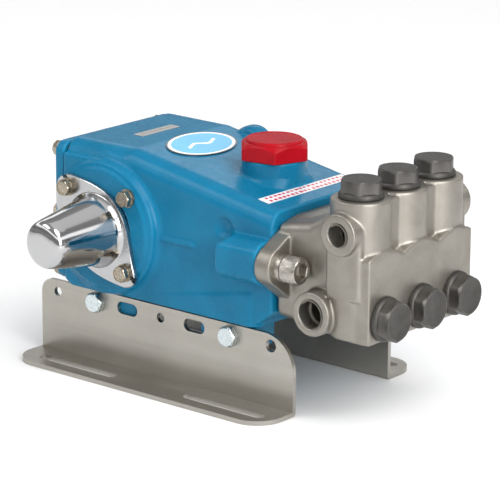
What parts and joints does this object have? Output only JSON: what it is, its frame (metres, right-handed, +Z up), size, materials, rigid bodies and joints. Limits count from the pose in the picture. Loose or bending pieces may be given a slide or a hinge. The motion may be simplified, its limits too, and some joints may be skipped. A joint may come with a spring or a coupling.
{
  "type": "triplex plunger pump",
  "caption": "High-pressure triplex plunger pump with belt-drive crankcase, block manifold, side ports and slotted base rails.",
  "frame": {"origin": "centre of the four base slots, on the underside of the two rails", "axes": "+Z up, +X forward from the crank to the manifold, +Y along the drive shaft towards its end"},
  "size_m": [0.295, 0.2288, 0.1664],
  "materials": {
    "blue_paint": "gloss",
    "gasket_paper": "matt",
    "yellow_zinc": "satin",
    "sight_glass": "polished",
    "polished_steel": "polished",
    "bearing_steel": "polished",
    "black_rubber": "matt",
    "chrome_cone": "polished",
    "cast_stainless": "cast satin",
    "stainless_screw": "satin",
    "plug_steel": "fine cast satin",
    "white_plastic": "satin",
    "spring_steel": "satin",
    "packing": "matt",
    "brass_ring": "machined",
    "rail_stainless": "satin",
    "clear_zinc": "bright",
    "badge": "gloss",
    "serial_plate": "satin",
    "label_vinyl": "gloss",
    "machined_steel": "machined",
    "red_plastic": "gloss",
    "rod_alloy": "cast",
    "ceramic": "polished"
  },
  "bodies": {
    "pump": {"crankcase": "blue_paint", "rear_cover": "blue_paint", "rear_cover_gasket": "gasket_paper", "rear_cover_screws": "yellow_zinc", "oil_sight_glass": "sight_glass", "sight_glass_bezel": "polished_steel", "oil_drain_plug": "yellow_zinc", "bearing_outer_races": "bearing_steel", "bearing_case": "blue_paint", "bearing_case_screws": "yellow_zinc", "drive_shaft_seal": "black_rubber", "shaft_protector": "chrome_cone", "protector_screws": "yellow_zinc", "protector_washers": "yellow_zinc", "crosshead_oil_seals": "black_rubber", "manifold": "cast_stainless", "manifold_screws": "stainless_screw", "manifold_washers": "stainless_screw", "manifold_lock_washers": "stainless_screw", "discharge_valve_plugs": "plug_steel", "inlet_valve_plugs": "plug_steel", "valve_seats": "polished_steel", "valve_cages": "white_plastic", "discharge_valve_springs": "spring_steel", "inlet_valve_springs": "spring_steel", "high_pressure_packings": "packing", "low_pressure_seals": "black_rubber", "seal_cases": "brass_ring", "near_rail": "rail_stainless", "far_rail": "rail_stainless", "rail_bolts": "clear_zinc", "badge_plate": "badge", "serial_plate": "serial_plate", "caution_label": "label_vinyl"},
    "crank": {"crankshaft": "machined_steel", "bearing_inner_races": "bearing_steel", "bearing_balls": "bearing_steel"},
    "oil_cap": {"filler_cap": "red_plastic"},
    "rod_1": {"connecting_rod_1": "rod_alloy", "wrist_pin_1": "polished_steel"},
    "plunger_1": {"crosshead_1": "machined_steel", "ceramic_plunger_1": "ceramic"},
    "discharge_disc_1": {"discharge_valve_1": "polished_steel"},
    "inlet_disc_1": {"inlet_valve_1": "polished_steel"},
    "rod_2": {"connecting_rod_2": "rod_alloy", "wrist_pin_2": "polished_steel"},
    "plunger_2": {"crosshead_2": "machined_steel", "ceramic_plunger_2": "ceramic"},
    "discharge_disc_2": {"discharge_valve_2": "polished_steel"},
    "inlet_disc_2": {"inlet_valve_2": "polished_steel"},
    "rod_3": {"connecting_rod_3": "rod_alloy", "wrist_pin_3": "polished_steel"},
    "plunger_3": {"crosshead_3": "machined_steel", "ceramic_plunger_3": "ceramic"},
    "discharge_disc_3": {"discharge_valve_3": "polished_steel"},
    "inlet_disc_3": {"inlet_valve_3": "polished_steel"}
  },
  "joints": [
    {"name": "crank_spin", "type": "hinge", "parent": "pump", "child": "crank", "pos_m": [-0.05, 0, 0.1], "axis": [0, 1, 0], "continuous": true},
    {"name": "rod_hinge_1", "type": "hinge", "parent": "crank", "child": "rod_1", "pos_m": [-0.0525, -0.038, 0.09567], "axis": [0, 1, 0], "continuous": true},
    {"name": "rod_hinge_2", "type": "hinge", "parent": "crank", "child": "rod_2", "pos_m": [-0.045, 0, 0.1], "axis": [0, 1, 0], "continuous": true},
    {"name": "rod_hinge_3", "type": "hinge", "parent": "crank", "child": "rod_3", "pos_m": [-0.0525, 0.038, 0.10433], "axis": [0, 1, 0], "continuous": true},
    {"name": "plunger_stroke_1", "type": "slide", "parent": "pump", "child": "plunger_1", "axis": [1, 0, 0], "range_m": [-0.005, 0.005]},
    {"name": "plunger_stroke_2", "type": "slide", "parent": "pump", "child": "plunger_2", "axis": [1, 0, 0], "range_m": [-0.005, 0.005]},
    {"name": "plunger_stroke_3", "type": "slide", "parent": "pump", "child": "plunger_3", "axis": [1, 0, 0], "range_m": [-0.005, 0.005]},
    {"name": "discharge_lift_1", "type": "slide", "parent": "pump", "child": "discharge_disc_1", "axis": [0, 0, 1], "range_m": [0, 0.003], "stiffness_N_per_m": 600, "springref_m": -0.002, "deforming": ["discharge_valve_springs"]},
    {"name": "inlet_lift_1", "type": "slide", "parent": "pump", "child": "inlet_disc_1", "axis": [1, 0, 0], "range_m": [0, 0.003], "stiffness_N_per_m": 600, "springref_m": -0.002, "deforming": ["inlet_valve_springs"]},
    {"name": "discharge_lift_2", "type": "slide", "parent": "pump", "child": "discharge_disc_2", "axis": [0, 0, 1], "range_m": [0, 0.003], "stiffness_N_per_m": 600, "springref_m": -0.002, "deforming": ["discharge_valve_springs"]},
    {"name": "inlet_lift_2", "type": "slide", "parent": "pump", "child": "inlet_disc_2", "axis": [1, 0, 0], "range_m": [0, 0.003], "stiffness_N_per_m": 600, "springref_m": -0.002, "deforming": ["inlet_valve_springs"]},
    {"name": "discharge_lift_3", "type": "slide", "parent": "pump", "child": "discharge_disc_3", "axis": [0, 0, 1], "range_m": [0, 0.003], "stiffness_N_per_m": 600, "springref_m": -0.002, "deforming": ["discharge_valve_springs"]},
    {"name": "inlet_lift_3", "type": "slide", "parent": "pump", "child": "inlet_disc_3", "axis": [1, 0, 0], "range_m": [0, 0.003], "stiffness_N_per_m": 600, "springref_m": -0.002, "deforming": ["inlet_valve_springs"]},
    {"name": "cap_lift", "type": "slide", "parent": "pump", "child": "oil_cap", "axis": [0, 0, 1], "range_m": [0, 0.025]}
  ],
  "couplings": [
    {"joint": "rod_hinge_1", "follows": "crank_spin", "ratio": -1},
    {"joint": "rod_hinge_2", "follows": "crank_spin", "ratio": -1},
    {"joint": "rod_hinge_3", "follows": "crank_spin", "ratio": -1}
  ]
}
